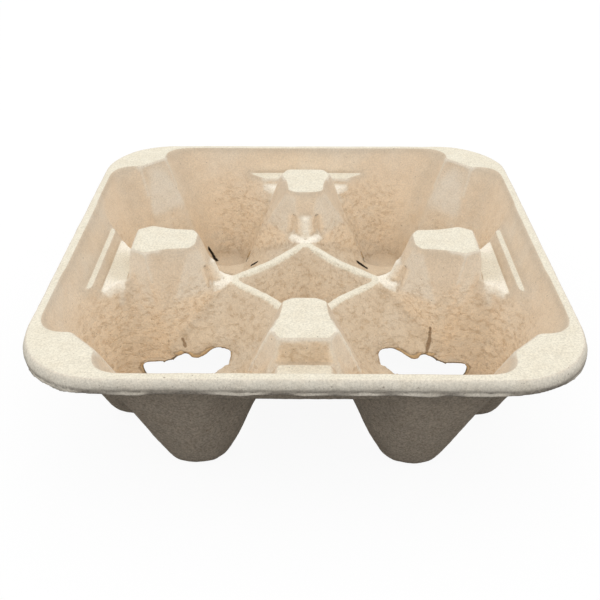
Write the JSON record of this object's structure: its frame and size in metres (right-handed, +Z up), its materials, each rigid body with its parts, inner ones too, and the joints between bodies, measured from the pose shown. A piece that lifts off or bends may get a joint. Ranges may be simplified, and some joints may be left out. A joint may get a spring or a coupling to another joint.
{
  "type": "cup carrier",
  "caption": "Square moulded paper pulp tray that carries drinking cups in stepped pockets with torn-out bottoms, standing on hollow rounded feet.",
  "frame": {"origin": "middle of the plane that the feet stand on", "axes": "+Z up through the middle well, +X and +Y along the square's sides, the picture's front at -Y"},
  "size_m": [0.215, 0.215, 0.061],
  "materials": {
    "pulp": "matte, fibrous moulded pulp with a fine speckle"
  },
  "bodies": {
    "root": {"cup_carrier": "pulp"}
  },
  "joints": []
}
